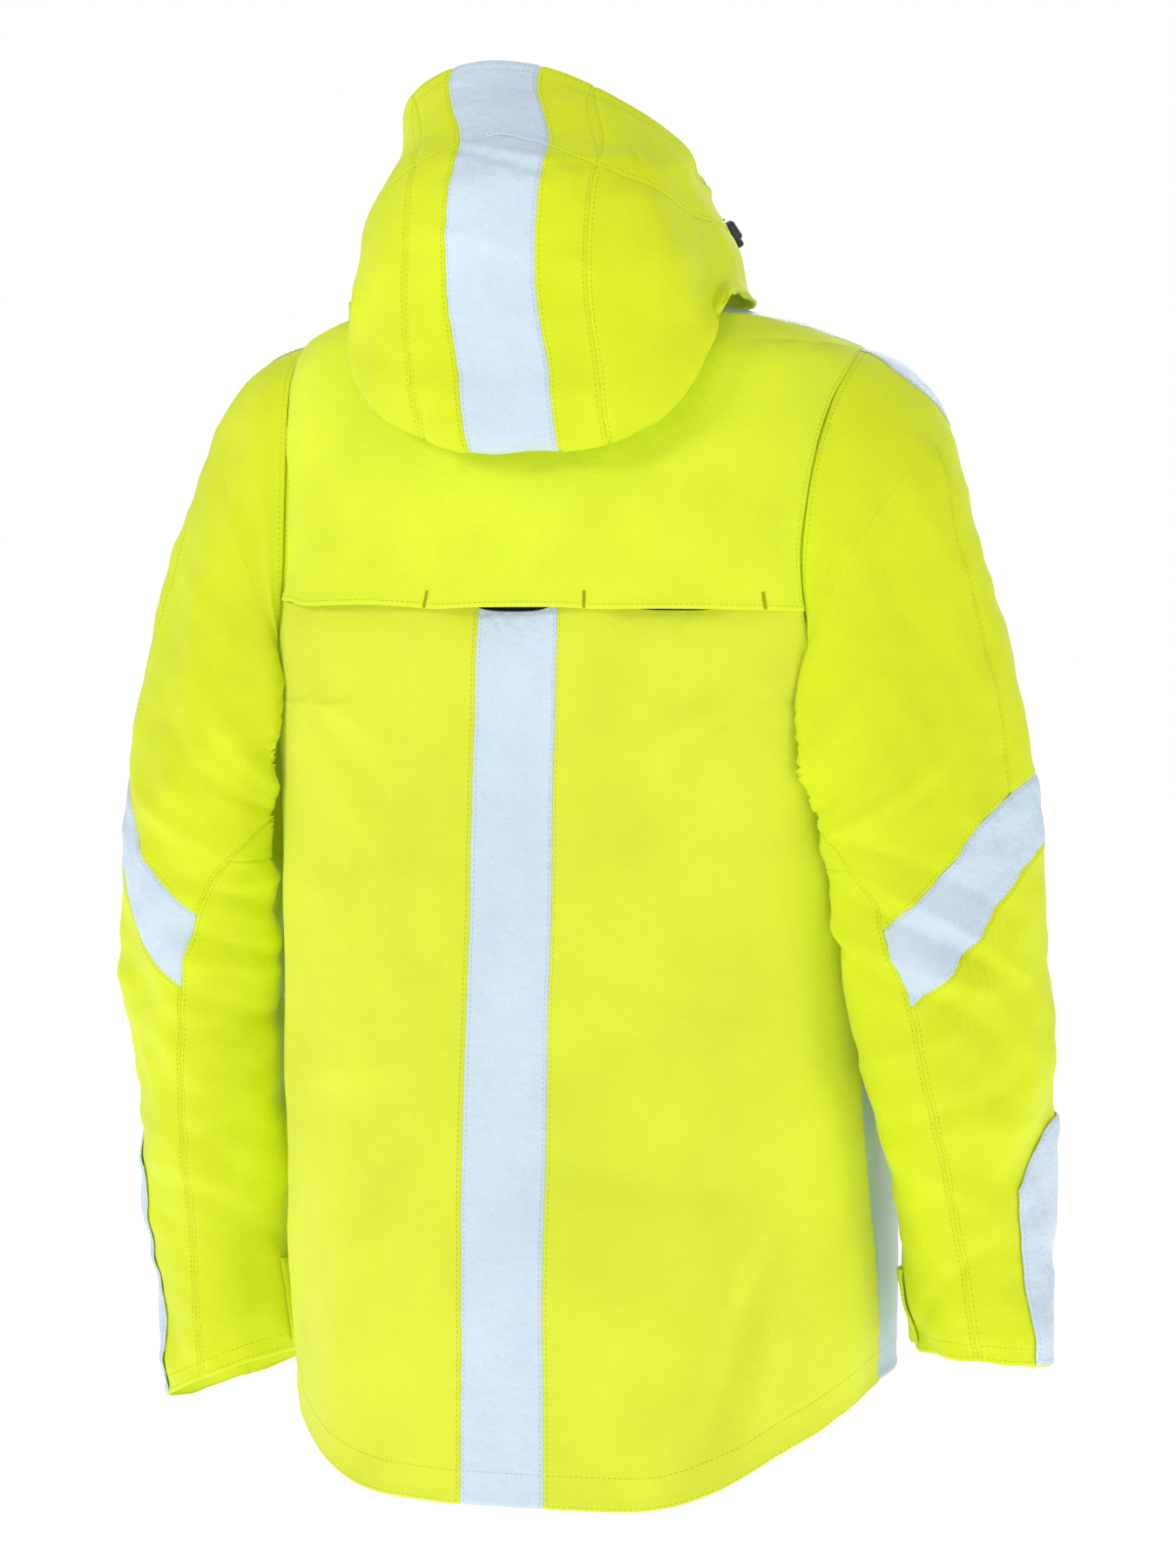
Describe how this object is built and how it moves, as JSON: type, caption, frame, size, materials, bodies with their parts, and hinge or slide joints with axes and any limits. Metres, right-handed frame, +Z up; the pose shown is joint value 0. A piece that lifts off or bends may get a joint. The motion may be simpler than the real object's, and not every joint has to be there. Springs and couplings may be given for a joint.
{
  "type": "foul weather jacket",
  "caption": "Hooded waterproof deck jacket with a two-piece sleeve, vented back yoke, dropped tail, front zip, hand pockets and an adjustable standing hood.",
  "frame": {"origin": "middle of the hang loop inside the back of the neck, where the jacket is held up", "axes": "+Z up, +Y towards the back, -Y towards the front zip, +X towards the wearer's left"},
  "size_m": [0.7004, 0.3372, 1.001],
  "materials": {
    "bright_cloth": "matt coated ripstop, bright yellow",
    "light_cloth": "smooth coated cloth, very light blue",
    "mesh_cloth": "open knitted mesh, dark blue",
    "lining_cloth": "smooth woven lining, dark grey",
    "pocket_cloth": "brushed knit, dark grey",
    "zip_tape": "woven tape with moulded teeth, dark grey",
    "zip_metal": "satin",
    "puller": "moulded, matt",
    "lock_plastic": "moulded, matt, dark navy",
    "cord": "braided cord, dark navy",
    "webbing": "woven webbing, dark grey"
  },
  "bodies": {
    "body": {"back_panel_left": "bright_cloth", "back_panel_right": "bright_cloth", "back_strip": "light_cloth", "back_yoke": "bright_cloth", "vent_mesh": "mesh_cloth", "front_gore_left": "light_cloth", "front_panel_left": "bright_cloth", "shoulder_band_left": "light_cloth", "front_gore_right": "light_cloth", "front_panel_right": "bright_cloth", "shoulder_band_right": "light_cloth", "lining": "lining_cloth", "hem_facing": "lining_cloth", "collar": "bright_cloth", "zip_tape_left": "zip_tape", "zip_tape_right": "zip_tape", "storm_guard": "bright_cloth", "zip_box": "zip_metal", "pocket_zip_left": "zip_tape", "pocket_bag_left": "pocket_cloth", "pocket_zip_right": "zip_tape", "pocket_bag_right": "pocket_cloth", "hang_loop": "webbing", "sleeve_head_left": "bright_cloth", "sleeve_head_right": "bright_cloth"},
    "hood": {"hood_strip": "light_cloth", "brim_strip": "light_cloth", "hood_centre_left": "bright_cloth", "hood_side_left": "bright_cloth", "hood_brim_left": "bright_cloth", "hood_lock_left": "lock_plastic", "hood_centre_right": "bright_cloth", "hood_side_right": "bright_cloth", "hood_brim_right": "bright_cloth", "hood_lock_right": "lock_plastic", "hood_drawcord": "cord"},
    "zip_slider": {"zip_slider": "zip_metal"},
    "zip_puller": {"zip_puller": "puller"},
    "hood_lock_button_left": {"hood_lock_button_left": "lock_plastic"},
    "upper_arm_left": {"upper_sleeve_left": "bright_cloth", "front_sleeve_left": "bright_cloth", "under_sleeve_upper_left": "bright_cloth"},
    "forearm_left": {"elbow_band_left": "light_cloth", "under_sleeve_lower_left": "bright_cloth", "lower_sleeve_left": "bright_cloth", "forearm_patch_left": "light_cloth"},
    "cuff_tab_left": {"cuff_tab_left": "bright_cloth"},
    "pocket_slider_left": {"pocket_slider_left": "zip_metal"},
    "pocket_puller_left": {"pocket_puller_left": "puller"},
    "hood_lock_button_right": {"hood_lock_button_right": "lock_plastic"},
    "upper_arm_right": {"upper_sleeve_right": "bright_cloth", "front_sleeve_right": "bright_cloth", "under_sleeve_upper_right": "bright_cloth"},
    "forearm_right": {"elbow_band_right": "light_cloth", "under_sleeve_lower_right": "bright_cloth", "lower_sleeve_right": "bright_cloth", "forearm_patch_right": "light_cloth"},
    "cuff_tab_right": {"cuff_tab_right": "bright_cloth"},
    "pocket_slider_right": {"pocket_slider_right": "zip_metal"},
    "pocket_puller_right": {"pocket_puller_right": "puller"}
  },
  "joints": [
    {"name": "hood_fold", "type": "hinge", "parent": "body", "child": "hood", "pos_m": [0, 0.013, 0.017], "axis": [-1, 0, 0], "range_deg": [0, 60], "deforming": ["hood_strip", "hood_drawcord", "hood_centre_left", "hood_side_left", "hood_brim_left", "hood_centre_right", "hood_side_right", "hood_brim_right", "brim_strip"]},
    {"name": "hood_lock_press_left", "type": "slide", "parent": "hood", "child": "hood_lock_button_left", "axis": [-0.4215, 0.4215, 0.8029], "range_m": [0, 0.0025], "stiffness_N_per_m": 400},
    {"name": "hood_lock_press_right", "type": "slide", "parent": "hood", "child": "hood_lock_button_right", "axis": [0.4215, 0.4215, 0.8029], "range_m": [0, 0.0025], "stiffness_N_per_m": 400},
    {"name": "sleeve_swing_left", "type": "hinge", "parent": "body", "child": "upper_arm_left", "pos_m": [0.22, -0.042, -0.258], "axis": [-1, 0, 0], "range_deg": [-15, 40], "deforming": ["upper_sleeve_left", "front_sleeve_left", "under_sleeve_upper_left"]},
    {"name": "elbow_bend_left", "type": "hinge", "parent": "upper_arm_left", "child": "forearm_left", "pos_m": [0.281, -0.012, -0.438], "axis": [-1, 0, 0], "range_deg": [0, 60], "deforming": ["elbow_band_left", "under_sleeve_lower_left"]},
    {"name": "sleeve_swing_right", "type": "hinge", "parent": "body", "child": "upper_arm_right", "pos_m": [-0.22, -0.042, -0.258], "axis": [-1, 0, 0], "range_deg": [-15, 40], "deforming": ["upper_sleeve_right", "front_sleeve_right", "under_sleeve_upper_right"]},
    {"name": "elbow_bend_right", "type": "hinge", "parent": "upper_arm_right", "child": "forearm_right", "pos_m": [-0.282, -0.012, -0.433], "axis": [-1, 0, 0], "range_deg": [0, 60], "deforming": ["elbow_band_right", "under_sleeve_lower_right"]},
    {"name": "cuff_tab_lift_left", "type": "hinge", "parent": "forearm_left", "child": "cuff_tab_left", "pos_m": [0.23575, -0.05265, -0.7221], "axis": [0.0196, -0.2489, -0.9683], "range_deg": [0, 20]},
    {"name": "cuff_tab_lift_right", "type": "hinge", "parent": "forearm_right", "child": "cuff_tab_right", "pos_m": [-0.24565, -0.05195, -0.69815], "axis": [0.1007, 0.2384, 0.9659], "range_deg": [0, 30]},
    {"name": "zip_slide", "type": "slide", "parent": "body", "child": "zip_slider", "axis": [0, -0.0785, -0.9969], "range_m": [0, 0.735]},
    {"name": "zip_pull_lift", "type": "hinge", "parent": "zip_slider", "child": "zip_puller", "pos_m": [0, -0.15986, 0.01396], "axis": [-1, 0, 0], "range_deg": [0, 150]},
    {"name": "pocket_zip_slide_left", "type": "slide", "parent": "body", "child": "pocket_slider_left", "axis": [0.0542, -0.023, -0.9983], "range_m": [0, 0.105]},
    {"name": "pocket_pull_lift_left", "type": "hinge", "parent": "pocket_slider_left", "child": "pocket_puller_left", "pos_m": [0.1959, -0.15705, -0.50193], "axis": [-0.6653, -0.7464, -0.0189], "range_deg": [0, 150]},
    {"name": "pocket_zip_slide_right", "type": "slide", "parent": "body", "child": "pocket_slider_right", "axis": [-0.0542, -0.023, -0.9983], "range_m": [0, 0.105]},
    {"name": "pocket_pull_lift_right", "type": "hinge", "parent": "pocket_slider_right", "child": "pocket_puller_right", "pos_m": [-0.1959, -0.15705, -0.50193], "axis": [-0.6653, 0.7464, 0.0189], "range_deg": [0, 150]}
  ]
}
